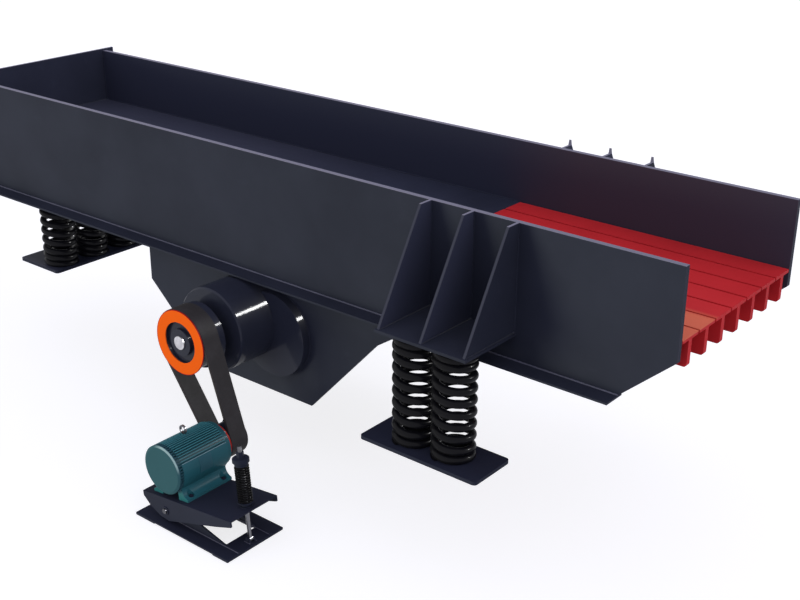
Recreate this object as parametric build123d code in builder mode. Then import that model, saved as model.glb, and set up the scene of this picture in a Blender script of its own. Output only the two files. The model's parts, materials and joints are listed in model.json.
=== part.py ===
from build123d import *
import os
from math import acos, cos, degrees, hypot, pi, radians, sin

# A grizzly vibrating feeder: a sprung trough, shaken by an exciter that a belt drives from a motor
# Millimetres, with +X at the discharge end, -Y on the drive side and +Z up
# The origin is the centre of the rear spring base's underside

# Clearances
body_gap = 0.3
running_clearance = 0.09

# Trough
trough_width = 1100.0
wall_thickness = 28.0
trough_rear_x = -623.6
trough_discharge_x = 4320.6
wall_bottom_z = 441.6
wall_height = 648.2
lip_cut_length = 251.3
lip_cut_height = 226.0
flange_width = 96.0
flange_thickness = 10.0
end_plate_thickness = 15.0
end_plate_overhang = 58.0
end_plate_rise = 12.0

# Feed pan and grizzly
deck_height = 315.4
pan_thickness = 12.0
bar_count = 7
bar_length = 1496.6
bar_gap = 12.0
bar_flange_thickness = 16.0
bar_depth = 140.0
bar_web_thickness = 28.0
bar_corner_radius = 14.0
beam_height = 110.0
beam_width = 60.0
beam_wall = 10.0
pan_beam_count = 5

# Spring brackets on both side walls
gusset_spacing = 237.8
gusset_count = 3
gusset_thickness = 13.0
gusset_top_reach = 74.0
gusset_reach = 367.0
bracket_x = 3286.0
seat_above_wall_bottom = 134.4
seat_thickness = 14.0
seat_edge = 9.0
nib_height = 28.0
nib_width = 14.0

# Springs and their base plates
wire_radius = 19.5
coil_radius = 85.5
coil_segments = 10
front_closed_turns = 2.2
front_open_turns = 6.3
rear_closed_turns = 2.5
rear_open_turns = 3.8
closed_turns_high = 1.2
front_coil_start = 130.0
rear_coil_start = 30.0
base_thickness = 18.0
base_corner_radius = 20.0
front_spring_x_spacing = 225.0
front_spring_y = 805.0
front_base_length = 667.0
front_base_width = 268.0
rear_base_length = 372.0
rear_base_width = 1168.0
rear_spring_count = 5
rear_spring_spacing = 232.0
rear_spring_x = 75.0
rear_seat_length = 250.0
rear_seat_overhang = 40.0

# Exciter
exciter_plate_thickness = 14.0
exciter_plate_length = 1943.0
exciter_plate_x = 1047.0
exciter_depth = 647.0
exciter_rear_drop = 245.0
exciter_rear_knee_run = 154.0
exciter_rear_knee_drop = 385.0
exciter_floor_rear_run = 449.0
exciter_floor_front_run = 709.0
exciter_front_knee_run = 263.0
exciter_front_knee_drop = 167.0
exciter_nose_run = 164.0
exciter_nose_drop = 101.0
drive_axis_x = 1840.0
drive_axis_z = 192.4
geared_axis_x = 2046.0
geared_axis_z = 147.0
drive_housing_radius = 228.0
drive_housing_length = 280.0
geared_cover_radius = 234.0
geared_cover_length = 50.0
shaft_tube_radius = 100.0
far_cover_radius = 130.0
far_cover_length = 45.0
housing_edge_chamfer = 8.0

# Drive shaft and pulleys
shaft_radius = 36.0
shaft_bearing_depth = 210.0
pulley_front_y = -1040.0
pulley_width = 152.0
motor_pulley_width = 118.0
driven_pulley_radius = 174.0
motor_pulley_radius = 96.0
ring_thickness = 5.0
driven_ring_bore = 110.0
motor_ring_bore = 62.0
hub_radius = 72.0
motor_hub_radius = 46.0
pulley_web_thickness = 24.0
pulley_web_setback = 20.0
hub_setback = 2.0
shaft_end_reach = 6.0

# Belt
belt_width = 108.0
belt_thickness = 17.0
belt_stand = 3.0
motor_axis_x = 2086.0
motor_axis_z = -288.0

# Motor
motor_shaft_radius = 24.0
motor_frame_radius = 117.0
fin_height = 12.0
fin_thickness = 4.5
fin_count = 24
fin_arc = 138.0
ledge_height = 46.0
motor_fan_end_y = -1414.0
motor_drive_end_y = -1060.0
fan_cowl_length = 32.0
fan_rim_length = 11.0
fan_rim_chamfer = 6.0
cowl_rib_count = 54
cowl_rib_thickness = 5.0
end_shield_length = 30.0
end_shield_radius = 118.0
motor_height = 158.0
foot_half_span = 127.0
foot_thickness = 14.0
foot_inner = 60.0
foot_waist = 91.0
foot_hollow = 14.0
foot_bolt_radius = 17.0
foot_bolt_offset = 108.0
foot_bolt_setback = 38.0
eye_radius = 24.0
eye_wire_radius = 4.5
eye_y = -1248.0
eye_boss_radius = 13.0

# Motor seat and its base
seat_tilt = 6.54
seat_low_reach = 184.0
seat_high_reach = 453.0
seat_near_y = -1409.0
seat_width = 314.0
seat_plate_thickness = 6.0
cheek_thickness = 10.0
cheek_high_depth = 24.0
cheek_knee_run = 107.0
cheek_knee_depth = 49.0
cheek_low_run = 172.0
cheek_low_depth = 119.0
cheek_heel_run = 107.0
cheek_heel_depth = 104.0
cheek_toe_run = 43.0
cheek_toe_depth = 66.0
cheek_end_depth = 21.0
pin_radius = 14.0
pin_along = -25.0
pin_below = 229.0
pin_overhang = 11.0
base_near_y = -1440.0
base_width = 376.0
base_low_x = 1890.0
base_high_x = 2555.0
base_bottom_z = -605.0
foot_strip_thickness = 5.0
base_plate_thickness = 8.0
base_member_width = 88.0
base_low_strip = 138.0
base_high_strip = 105.0
ear_thickness = 10.0
ear_head_height = 32.0
ear_head_half_width = 34.0
ear_foot_run = 60.0
ear_rib_height = 7.0

# Tension rod
rod_radius = 10.0
rod_foot_x = 2517.7
rod_lean = 46.3
rod_top_z = -80.9
rod_pin_height = 14.0
rod_eye_radius = 13.0
tension_spring_radius = 37.0
tension_wire_radius = 5.0
tension_open_turns = 13
tension_coil_segments = 8
cap_radius = 42.0
cap_height = 22.0
cap_neck_radius = 34.0
cap_neck_height = 16.0
cap_bottom_z = -180.0
cap_chamfer = 2.0
nut_radius = 19.0
nut_height = 32.0
slot_length = 44.0
slot_width = 30.0
bush_bore = 17.0
bush_wall = 3.0
bush_foot_radius = 30.0
bush_foot_thickness = 4.0
bush_height = 27.0
bush_flange_radius = 40.0
bush_flange_thickness = 5.0
lug_ear_gap = 24.0
lug_ear_thickness = 8.0
lug_half_width = 22.0
lug_head = 11.0
rod_pin_radius = 6.0
rod_pin_overhang = 5.0

# Levels and faces worked out from the sizes above
wall_top_z = wall_bottom_z + wall_height
wall_outer_y = trough_width / 2
wall_inner_y = wall_outer_y - wall_thickness
flange_bottom_z = wall_bottom_z - flange_thickness
deck_z = wall_bottom_z + deck_height
bar_start_x = trough_discharge_x - bar_length
seat_top_z = wall_bottom_z + seat_above_wall_bottom
seat_bottom_z = seat_top_z - seat_thickness
bracket_out_y = wall_outer_y + gusset_reach

os.makedirs("parts", exist_ok=True)


# Side walls with the discharge lip cut off at the lower corner
def wall_outline():
    lip_x = trough_discharge_x - lip_cut_length
    lip_z = wall_bottom_z + lip_cut_height
    Polygon(
        (trough_rear_x, wall_bottom_z),
        (lip_x, wall_bottom_z),
        (trough_discharge_x, lip_z),
        (trough_discharge_x, wall_top_z),
        (trough_rear_x, wall_top_z),
        align=None,
    )


with BuildPart() as near_side_wall:
    with BuildSketch(Plane.XZ.offset(wall_inner_y)):
        wall_outline()
    extrude(amount=wall_thickness)

with BuildPart() as far_side_wall:
    with BuildSketch(Plane.XZ.offset(-wall_outer_y)):
        wall_outline()
    extrude(amount=wall_thickness)

near_side_wall.part.label = "near_side_wall"
export_step(near_side_wall.part, "parts/near_side_wall.step")
far_side_wall.part.label = "far_side_wall"
export_step(far_side_wall.part, "parts/far_side_wall.step")

# Flat bars under the walls that stand out as bottom flanges
flange_length = trough_discharge_x - lip_cut_length - trough_rear_x
flange_middle_x = trough_rear_x + flange_length / 2
flange_middle_y = (wall_inner_y + wall_outer_y + flange_width) / 2

with BuildPart() as bottom_flanges:
    with BuildSketch(Plane.XY.offset(flange_bottom_z)):
        with Locations((flange_middle_x, -flange_middle_y), (flange_middle_x, flange_middle_y)):
            Rectangle(flange_length, wall_thickness + flange_width)
    extrude(amount=flange_thickness)

bottom_flanges.part.label = "bottom_flanges"
export_step(bottom_flanges.part, "parts/bottom_flanges.step")

# Rear end plate, wider and taller than the trough
with BuildPart() as rear_end_plate:
    with BuildSketch(Plane.YZ.offset(trough_rear_x - end_plate_thickness)):
        plate_height = wall_top_z + end_plate_rise - flange_bottom_z
        with Locations((0, flange_bottom_z + plate_height / 2)):
            Rectangle(trough_width + 2 * end_plate_overhang, plate_height)
    extrude(amount=end_plate_thickness)

rear_end_plate.part.label = "rear_end_plate"
export_step(rear_end_plate.part, "parts/rear_end_plate.step")

# Feed pan, from the end plate to the grizzly
with BuildPart() as feed_pan:
    with BuildSketch(Plane.XY.offset(deck_z - pan_thickness)):
        with Locations(((trough_rear_x + bar_start_x) / 2, 0)):
            Rectangle(bar_start_x - trough_rear_x, 2 * wall_inner_y)
    extrude(amount=pan_thickness)

feed_pan.part.label = "feed_pan"
export_step(feed_pan.part, "parts/feed_pan.step")


# Channel beams across the trough, legs down, carrying the pan and the bars
def channel_beam(x, top_z):
    with BuildPart() as beam:
        with BuildSketch(Plane.XZ.offset(wall_inner_y)):
            with Locations((x, top_z - beam_height / 2)):
                Rectangle(beam_width, beam_height)
            with Locations((x, top_z - beam_wall - beam_height / 2)):
                Rectangle(beam_width - 2 * beam_wall, beam_height, mode=Mode.SUBTRACT)
        extrude(amount=-2 * wall_inner_y)
    return beam.part


pan_beam_pitch = (bar_start_x - trough_rear_x) / pan_beam_count
with BuildPart() as pan_cross_beams:
    for index in range(pan_beam_count):
        add(channel_beam(trough_rear_x + (index + 0.5) * pan_beam_pitch, deck_z - pan_thickness))

pan_cross_beams.part.label = "pan_cross_beams"
export_step(pan_cross_beams.part, "parts/pan_cross_beams.step")

grizzly_beam_top_z = deck_z - bar_depth
with BuildPart() as grizzly_cross_beams:
    add(channel_beam(bar_start_x + beam_width, grizzly_beam_top_z))
    add(channel_beam(bar_start_x + bar_length * 0.68, grizzly_beam_top_z))

grizzly_cross_beams.part.label = "grizzly_cross_beams"
export_step(grizzly_cross_beams.part, "parts/grizzly_cross_beams.step")

# Grizzly bars: T sections whose webs have a rounded lower corner at the discharge end
bar_pitch = 2 * wall_inner_y / bar_count
with BuildPart() as grizzly_bars:
    for index in range(bar_count):
        bar_y = (index - (bar_count - 1) / 2) * bar_pitch
        with BuildSketch(Plane.XY.offset(deck_z - bar_flange_thickness)):
            with Locations(((bar_start_x + trough_discharge_x) / 2, bar_y)):
                Rectangle(bar_length, bar_pitch - bar_gap)
        extrude(amount=bar_flange_thickness)
        with BuildSketch(Plane.XZ.offset(-bar_y - bar_web_thickness / 2)):
            web_height = bar_depth - bar_flange_thickness
            with Locations(((bar_start_x + trough_discharge_x) / 2, deck_z - bar_depth + web_height / 2)):
                web = Rectangle(bar_length, web_height)
            fillet(web.vertices().group_by(Axis.X)[-1].sort_by(Axis.Z)[0], radius=bar_corner_radius)
        extrude(amount=bar_web_thickness)

grizzly_bars.part.label = "grizzly_bars"
export_step(grizzly_bars.part, "parts/grizzly_bars.step")


# Spring brackets: three gussets a side over a plate that the springs push against
def gusset_outline(side, with_nib):
    Polygon(
        (side * wall_outer_y, seat_top_z),
        (side * bracket_out_y, seat_top_z),
        (side * (wall_outer_y + gusset_top_reach), wall_top_z),
        (side * wall_outer_y, wall_top_z),
        align=None,
    )
    if with_nib:
        nib_y = side * (wall_outer_y + gusset_top_reach)
        Polygon(
            (nib_y, wall_top_z),
            (nib_y - side * nib_width, wall_top_z),
            (nib_y - side * nib_width / 2, wall_top_z + nib_height),
            align=None,
        )


for side, name, with_nib in ((-1, "near_bracket_gussets", False), (1, "far_bracket_gussets", True)):
    with BuildPart() as bracket_gussets:
        for index in range(gusset_count):
            gusset_x = bracket_x + (index - (gusset_count - 1) / 2) * gusset_spacing
            with BuildSketch(Plane.YZ.offset(gusset_x - gusset_thickness / 2)):
                gusset_outline(side, with_nib)
            extrude(amount=gusset_thickness)
    bracket_gussets.part.label = name
    export_step(bracket_gussets.part, "parts/" + name + ".step")

seat_length = (gusset_count - 1) * gusset_spacing + gusset_thickness + 2 * seat_edge
with BuildPart() as front_spring_seats:
    for side in (-1, 1):
        with BuildSketch(Plane.XY.offset(seat_bottom_z)):
            with Locations((bracket_x, side * (wall_outer_y + (gusset_reach + seat_edge) / 2))):
                Rectangle(seat_length, gusset_reach + seat_edge)
        extrude(amount=seat_thickness)

front_spring_seats.part.label = "front_spring_seats"
export_step(front_spring_seats.part, "parts/front_spring_seats.step")

# Rear spring seat: a plate under the flanges with a box between the walls
with BuildPart() as rear_spring_seat:
    with BuildSketch(Plane.XY.offset(flange_bottom_z - seat_thickness)):
        with Locations((rear_spring_x, 0)):
            Rectangle(rear_seat_length, 2 * (wall_outer_y + rear_seat_overhang))
    extrude(amount=seat_thickness)
    with BuildSketch(Plane.XZ.offset(wall_inner_y)):
        with Locations((rear_spring_x, flange_bottom_z + beam_height / 2)):
            Rectangle(rear_seat_length - 2 * beam_width, beam_height)
            Rectangle(rear_seat_length - 2 * beam_width - 2 * beam_wall, beam_height - 2 * beam_wall,
                      mode=Mode.SUBTRACT)
    extrude(amount=-2 * wall_inner_y)

rear_spring_seat.part.label = "rear_spring_seat"
export_step(rear_spring_seat.part, "parts/rear_spring_seat.step")


# Spring base plates on the foundation
with BuildPart() as rear_spring_base:
    with BuildSketch():
        RectangleRounded(rear_base_length, rear_base_width, base_corner_radius)
    extrude(amount=base_thickness)

with BuildPart() as front_spring_bases:
    with BuildSketch():
        with Locations((bracket_x, -front_spring_y), (bracket_x, front_spring_y)):
            RectangleRounded(front_base_length, front_base_width, base_corner_radius)
    extrude(amount=base_thickness)

rear_spring_base.part.label = "rear_spring_base"
export_step(rear_spring_base.part, "parts/rear_spring_base.step")
front_spring_bases.part.label = "front_spring_bases"
export_step(front_spring_bases.part, "parts/front_spring_bases.step")


# A closed end of a coil spring: half a flat turn, half a steep one, then turns one wire apart
def closed_height(turn, pitch):
    if turn <= 0.5:
        return 0
    if turn <= 1:
        return pitch * (2 * turn - 1)
    return pitch * turn


# Left-handed winding in straight facets, with closed turns at both ends and open ones between
def coil_route(radius, rise, pitch, low_turns, open_turns, high_turns, segments):
    turns = low_turns + open_turns + high_turns
    open_rise = rise - pitch * (low_turns + high_turns)
    points = []
    for step in range(round(turns * segments) + 1):
        turn = step / segments
        if turn < low_turns:
            height = closed_height(turn, pitch)
        elif turn < turns - high_turns:
            height = pitch * low_turns + open_rise * (turn - low_turns) / open_turns
        else:
            height = rise - closed_height(turns - turn, pitch)
        angle = -2 * pi * turn
        points.append((radius * cos(angle), radius * sin(angle), height))
    return points


def wound_wire(route, wire):
    with BuildPart() as winding:
        with BuildLine() as wire_path:
            Polyline(*route)
        with BuildSketch(Plane(origin=route[0], x_dir=(1, 0, 0), z_dir=(0, -1, 0))):
            RegularPolygon(wire, 6)
        sweep(path=wire_path.line, transition=Transition.RIGHT)
    return winding.part


# The six-sided wire rolls on its way up and ends slightly high, so a second winding is that much lower
def coil_spring(height, radius, wire, low_turns, open_turns, high_turns, segments):
    half_height = wire * cos(radians(30))
    rise = height - 2 * half_height
    winding_sizes = (2 * wire, low_turns, open_turns, high_turns, segments)
    first = wound_wire(coil_route(radius, rise, *winding_sizes), wire)
    excess = first.bounding_box().max.Z - rise - half_height
    spring = wound_wire(coil_route(radius, rise - excess, *winding_sizes), wire)
    return Pos(0, 0, half_height) * spring


front_spring_height = seat_bottom_z - body_gap - base_thickness
front_spring = Rot(0, 0, front_coil_start) * coil_spring(
    front_spring_height, coil_radius, wire_radius,
    front_closed_turns, front_open_turns, closed_turns_high, coil_segments,
)
rear_spring_height = flange_bottom_z - seat_thickness - body_gap - base_thickness
rear_spring = Rot(0, 0, rear_coil_start) * coil_spring(
    rear_spring_height, coil_radius, wire_radius,
    rear_closed_turns, rear_open_turns, closed_turns_high, coil_segments,
)

with BuildPart() as front_springs:
    for side in (-1, 1):
        for end in (-1, 1):
            spring_x = bracket_x + end * front_spring_x_spacing / 2
            add(Pos(spring_x, side * front_spring_y, base_thickness) * front_spring)

with BuildPart() as rear_springs:
    for index in range(rear_spring_count):
        spring_y = (index - (rear_spring_count - 1) / 2) * rear_spring_spacing
        add(Pos(rear_spring_x, spring_y, base_thickness) * rear_spring)

front_springs.part.label = "front_springs"
export_step(front_springs.part, "parts/front_springs.step")
rear_springs.part.label = "rear_springs"
export_step(rear_springs.part, "parts/rear_springs.step")


# Exciter side plates, hung under the bottom flanges
def exciter_outline():
    low_z = flange_bottom_z - exciter_depth
    right_x = exciter_plate_x + exciter_plate_length
    Polygon(
        (exciter_plate_x, flange_bottom_z),
        (exciter_plate_x, flange_bottom_z - exciter_rear_drop),
        (exciter_plate_x + exciter_rear_knee_run, flange_bottom_z - exciter_rear_knee_drop),
        (exciter_plate_x + exciter_floor_rear_run, low_z),
        (right_x - exciter_floor_front_run, low_z),
        (right_x - exciter_front_knee_run, flange_bottom_z - exciter_front_knee_drop),
        (right_x - exciter_nose_run, flange_bottom_z - exciter_nose_drop),
        (right_x, flange_bottom_z),
        align=None,
    )


with BuildPart() as exciter_side_plates:
    for side in (-1, 1):
        with BuildSketch(Plane.XZ.offset(-side * wall_outer_y)):
            exciter_outline()
        extrude(amount=side * exciter_plate_thickness)

exciter_side_plates.part.label = "exciter_side_plates"
export_step(exciter_side_plates.part, "parts/exciter_side_plates.step")

# Tubes round the two eccentric shafts, between the side plates
tube_half_length = wall_outer_y - exciter_plate_thickness
with BuildPart() as exciter_tubes:
    with BuildSketch(Plane.XZ.offset(tube_half_length)):
        with Locations((drive_axis_x, drive_axis_z), (geared_axis_x, geared_axis_z)):
            Circle(shaft_tube_radius)
    extrude(amount=-2 * tube_half_length)

exciter_tubes.part.label = "exciter_tubes"
export_step(exciter_tubes.part, "parts/exciter_tubes.step")

# Long bearing housing round the drive shaft, bored for it
with BuildPart() as drive_shaft_housing:
    with BuildSketch(Plane.XZ.offset(wall_outer_y)):
        with Locations((drive_axis_x, drive_axis_z)):
            Circle(drive_housing_radius)
    extrude(amount=drive_housing_length)
    chamfer(edges().group_by(Axis.Y)[0], length=housing_edge_chamfer)
    with BuildSketch(Plane.XZ.offset(wall_outer_y + drive_housing_length)):
        with Locations((drive_axis_x, drive_axis_z)):
            Circle(shaft_radius + running_clearance)
    extrude(amount=-shaft_bearing_depth - body_gap, mode=Mode.SUBTRACT)

drive_shaft_housing.part.label = "drive_shaft_housing"
export_step(drive_shaft_housing.part, "parts/drive_shaft_housing.step")

# Short cover over the geared shaft's end, cut round the drive housing
with BuildPart() as geared_shaft_cover:
    with BuildSketch(Plane.XZ.offset(wall_outer_y)):
        with Locations((geared_axis_x, geared_axis_z)):
            Circle(geared_cover_radius)
        with Locations((drive_axis_x, drive_axis_z)):
            Circle(drive_housing_radius, mode=Mode.SUBTRACT)
    extrude(amount=geared_cover_length)

geared_shaft_cover.part.label = "geared_shaft_cover"
export_step(geared_shaft_cover.part, "parts/geared_shaft_cover.step")

# Far side bearing cover over both shaft ends
with BuildPart() as far_bearing_cover:
    with BuildSketch(Plane.XZ.offset(-wall_outer_y)):
        with Locations((drive_axis_x, drive_axis_z), (geared_axis_x, geared_axis_z)):
            Circle(far_cover_radius)
    extrude(amount=-far_cover_length)

far_bearing_cover.part.label = "far_bearing_cover"
export_step(far_bearing_cover.part, "parts/far_bearing_cover.step")

# Drive shaft
shaft_end_y = pulley_front_y - shaft_end_reach
shaft_inner_y = -wall_outer_y - drive_housing_length + shaft_bearing_depth
with BuildPart() as drive_shaft:
    with BuildSketch(Plane.XZ.offset(-shaft_end_y)):
        with Locations((drive_axis_x, drive_axis_z)):
            Circle(shaft_radius)
    extrude(amount=shaft_end_y - shaft_inner_y)

drive_shaft.part.label = "drive_shaft"
export_step(drive_shaft.part, "parts/drive_shaft.step")

# Pulleys: a rim with a belt seat, a back flange, a web and a hub; the front flange is a separate ring
belt_front_y = pulley_front_y + ring_thickness + body_gap
belt_seat_end_y = belt_front_y + belt_width + body_gap
seat_drop = belt_thickness - belt_stand + body_gap


def pulley(axis_x, axis_z, radius, width, ring_bore, hub, bore):
    ring_back_y = pulley_front_y + ring_thickness
    back_y = pulley_front_y + width
    web_front_y = pulley_front_y + pulley_web_setback
    with BuildPart() as body:
        with BuildSketch(Plane(origin=(axis_x, 0, axis_z), x_dir=(1, 0, 0), z_dir=(0, 0, 1))):
            with BuildLine():
                Polyline(
                    (bore, pulley_front_y + hub_setback),
                    (hub, pulley_front_y + hub_setback),
                    (hub, web_front_y),
                    (ring_bore, web_front_y),
                    (ring_bore, ring_back_y),
                    (radius - seat_drop, ring_back_y),
                    (radius - seat_drop, belt_seat_end_y),
                    (radius, belt_seat_end_y),
                    (radius, back_y),
                    (ring_bore, back_y),
                    (ring_bore, web_front_y + pulley_web_thickness),
                    (hub, web_front_y + pulley_web_thickness),
                    (hub, back_y),
                    (bore, back_y),
                    close=True,
                )
            make_face()
        revolve(axis=Axis((axis_x, 0, axis_z), (0, 1, 0)))
    return body.part


def pulley_ring(axis_x, axis_z, radius, ring_bore):
    with BuildPart() as ring:
        with BuildSketch(Plane.XZ.offset(-pulley_front_y)):
            with Locations((axis_x, axis_z)):
                Circle(radius)
                Circle(ring_bore, mode=Mode.SUBTRACT)
        extrude(amount=-ring_thickness)
    return ring.part


with BuildPart() as driven_pulley:
    add(pulley(drive_axis_x, drive_axis_z, driven_pulley_radius, pulley_width, driven_ring_bore,
               hub_radius, shaft_radius))

with BuildPart() as driven_pulley_ring:
    add(pulley_ring(drive_axis_x, drive_axis_z, driven_pulley_radius, driven_ring_bore))

with BuildPart() as motor_pulley:
    add(pulley(motor_axis_x, motor_axis_z, motor_pulley_radius, motor_pulley_width, motor_ring_bore,
               motor_hub_radius, motor_shaft_radius))

with BuildPart() as motor_pulley_ring:
    add(pulley_ring(motor_axis_x, motor_axis_z, motor_pulley_radius, motor_ring_bore))

driven_pulley.part.label = "driven_pulley"
export_step(driven_pulley.part, "parts/driven_pulley.step")
driven_pulley_ring.part.label = "driven_pulley_ring"
export_step(driven_pulley_ring.part, "parts/driven_pulley_ring.step")
motor_pulley.part.label = "motor_pulley"
export_step(motor_pulley.part, "parts/motor_pulley.step")
motor_pulley_ring.part.label = "motor_pulley_ring"
export_step(motor_pulley_ring.part, "parts/motor_pulley_ring.step")

# Belt: one closed loop round both pulleys
centre_distance = hypot(motor_axis_x - drive_axis_x, motor_axis_z - drive_axis_z)
belt_direction = (motor_axis_x - drive_axis_x, 0, motor_axis_z - drive_axis_z)
belt_plane = Plane(origin=(drive_axis_x, belt_front_y, drive_axis_z), x_dir=belt_direction, z_dir=(0, 1, 0))
driven_belt_radius = driven_pulley_radius + belt_stand
motor_belt_radius = motor_pulley_radius + belt_stand
contact_angle = degrees(acos((driven_belt_radius - motor_belt_radius) / centre_distance))


def belt_loop(inset):
    with BuildSketch(belt_plane) as loop:
        with BuildLine():
            big = CenterArc((0, 0), driven_belt_radius - inset, contact_angle, 360 - 2 * contact_angle)
            small = CenterArc(
                (centre_distance, 0), motor_belt_radius - inset, -contact_angle, 2 * contact_angle
            )
            Line(big @ 1, small @ 0)
            Line(small @ 1, big @ 0)
        make_face()
    return loop.sketch


with BuildPart() as drive_belt:
    extrude(belt_loop(0), amount=belt_width, dir=(0, 1, 0))
    extrude(belt_loop(belt_thickness), amount=belt_width, dir=(0, 1, 0), mode=Mode.SUBTRACT)

drive_belt.part.label = "drive_belt"
export_step(drive_belt.part, "parts/drive_belt.step")

# Directions along the tilted seat and square to it, measured from the motor's axis
tilt = radians(seat_tilt)
along = Vector(cos(tilt), 0, sin(tilt))
square = Vector(-sin(tilt), 0, cos(tilt))


def seat_plane(y):
    return Plane(origin=(motor_axis_x, y, motor_axis_z), x_dir=along, z_dir=(0, -1, 0))


# Motor frame: a smooth lower half with a ledge each side, and cooling fins over the top
frame_fan_y = motor_fan_end_y + fan_cowl_length
frame_drive_y = motor_drive_end_y - end_shield_length
frame_length = frame_drive_y - frame_fan_y
barrel_radius = motor_frame_radius + fin_height
with BuildPart() as motor_frame:
    with BuildSketch(seat_plane(frame_fan_y)):
        Circle(barrel_radius)
        with Locations((0, ledge_height)):
            Rectangle(2 * barrel_radius, barrel_radius, align=(Align.CENTER, Align.MIN), mode=Mode.SUBTRACT)
        Circle(motor_frame_radius)
    extrude(amount=-frame_length)
    with BuildSketch(seat_plane(frame_fan_y)):
        fin_middle = motor_frame_radius + fin_height / 2 - 1
        with PolarLocations(fin_middle, fin_count, 90 - fin_arc / 2, fin_arc, endpoint=True):
            Rectangle(fin_height + 2, fin_thickness)
    extrude(amount=-frame_length)
    with BuildSketch(Plane(origin=(motor_axis_x, eye_y, motor_axis_z), x_dir=along, z_dir=square)):
        Circle(eye_boss_radius)
    extrude(amount=barrel_radius)

motor_frame.part.label = "motor_frame"
export_step(motor_frame.part, "parts/motor_frame.step")

# Fan cowl: a ribbed ring behind a bevelled rim
rim_back_y = motor_fan_end_y + fan_rim_length
with BuildPart() as motor_fan_cowl:
    with BuildSketch(seat_plane(frame_fan_y)):
        Circle(motor_frame_radius)
        rib_middle = motor_frame_radius + fin_height / 2 - 1
        with PolarLocations(rib_middle, cowl_rib_count):
            Rectangle(fin_height + 2, cowl_rib_thickness)
    extrude(amount=fan_cowl_length - fan_rim_length)
    with BuildSketch(seat_plane(rim_back_y)):
        Circle(barrel_radius)
    extrude(amount=fan_rim_length)
    chamfer(edges().group_by(Axis.Y)[0], length=fan_rim_chamfer, length2=barrel_radius - motor_frame_radius)

motor_fan_cowl.part.label = "motor_fan_cowl"
export_step(motor_fan_cowl.part, "parts/motor_fan_cowl.step")

with BuildPart() as motor_end_shield:
    with BuildSketch(seat_plane(motor_drive_end_y)):
        Circle(end_shield_radius)
        Circle(motor_shaft_radius + running_clearance, mode=Mode.SUBTRACT)
    extrude(amount=end_shield_length)

motor_end_shield.part.label = "motor_end_shield"
export_step(motor_end_shield.part, "parts/motor_end_shield.step")

# Feet: hollow-sided blocks under the frame, with a pocket for the bolt at each end
foot_top = -motor_height + foot_thickness
foot_middle = ((foot_waist + foot_half_span) / 2 - foot_hollow, (foot_top - foot_waist) / 2)
with BuildPart() as motor_feet:
    for side in (-1, 1):
        with BuildSketch(seat_plane(frame_fan_y)):
            with BuildLine():
                Polyline(
                    (side * foot_waist, -foot_waist),
                    (side * foot_inner, -foot_waist),
                    (side * foot_inner, -motor_height),
                    (side * foot_half_span, -motor_height),
                    (side * foot_half_span, foot_top),
                )
                ThreePointArc(
                    (side * foot_half_span, foot_top),
                    (side * foot_middle[0], foot_middle[1]),
                    (side * foot_waist, -foot_waist),
                )
            make_face()
            Circle(barrel_radius, mode=Mode.SUBTRACT)
        extrude(amount=-frame_length)
    foot_face = Plane(origin=(motor_axis_x, 0, motor_axis_z), x_dir=along, z_dir=square)
    with BuildSketch(foot_face.offset(foot_top)):
        for bolt_y in (frame_fan_y + foot_bolt_setback, frame_drive_y - foot_bolt_setback):
            with Locations((-foot_bolt_offset, bolt_y), (foot_bolt_offset, bolt_y)):
                Circle(foot_bolt_radius)
    extrude(amount=motor_height - foot_thickness - foot_waist, mode=Mode.SUBTRACT)

motor_feet.part.label = "motor_feet"
export_step(motor_feet.part, "parts/motor_feet.step")

with BuildPart() as lifting_eye:
    with BuildSketch(seat_plane(eye_y)):
        with Locations((0, barrel_radius + eye_radius)):
            Circle(eye_radius)
            Circle(eye_radius - 2 * eye_wire_radius, mode=Mode.SUBTRACT)
        with Locations((0, barrel_radius + eye_wire_radius / 2)):
            Rectangle(4 * eye_wire_radius, eye_wire_radius)
    extrude(amount=eye_wire_radius, both=True)

lifting_eye.part.label = "lifting_eye"
export_step(lifting_eye.part, "parts/lifting_eye.step")

with BuildPart() as motor_shaft:
    with BuildSketch(Plane.XZ.offset(-motor_drive_end_y + end_shield_length - body_gap)):
        with Locations((motor_axis_x, motor_axis_z)):
            Circle(motor_shaft_radius)
    extrude(amount=frame_drive_y + body_gap - pulley_front_y - motor_pulley_width - shaft_end_reach)

motor_shaft.part.label = "motor_shaft"
export_step(motor_shaft.part, "parts/motor_shaft.step")

# The tension rod's line, from its pin on the base to its top
rod_foot_z = base_bottom_z + foot_strip_thickness + base_plate_thickness + rod_pin_height
rod_y = seat_near_y + seat_width / 2
rod_rise = rod_top_z - rod_foot_z
rod_direction = Vector(-rod_lean, 0, rod_rise).normalized()
rod_foot = Vector(rod_foot_x, rod_y, rod_foot_z)
rod_length = hypot(rod_lean, rod_rise)
motor_centre = Vector(motor_axis_x, rod_y, motor_axis_z)


# Distance up the rod at which it stands this far over or under the motor's axis, square to the seat
def rod_crossing(height):
    return (height - (rod_foot - motor_centre).dot(square)) / rod_direction.dot(square)


# Motor seat: a plate with a slot for the rod, and a cheek under each long edge
slot_middle = rod_foot + rod_direction * rod_crossing(-motor_height - seat_plate_thickness / 2)
slot_along = (slot_middle - motor_centre).dot(along)
slot_plane = Plane(origin=motor_centre, x_dir=along, z_dir=square)
plate_under = -motor_height - seat_plate_thickness
with BuildPart() as seat_plate:
    with BuildSketch(slot_plane.offset(plate_under)):
        with Locations(((seat_high_reach - seat_low_reach) / 2, 0)):
            Rectangle(seat_high_reach + seat_low_reach, seat_width)
        with Locations((slot_along, 0)):
            SlotOverall(slot_length, slot_width, mode=Mode.SUBTRACT)
    extrude(amount=seat_plate_thickness)

seat_plate.part.label = "seat_plate"
export_step(seat_plate.part, "parts/seat_plate.step")

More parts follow.
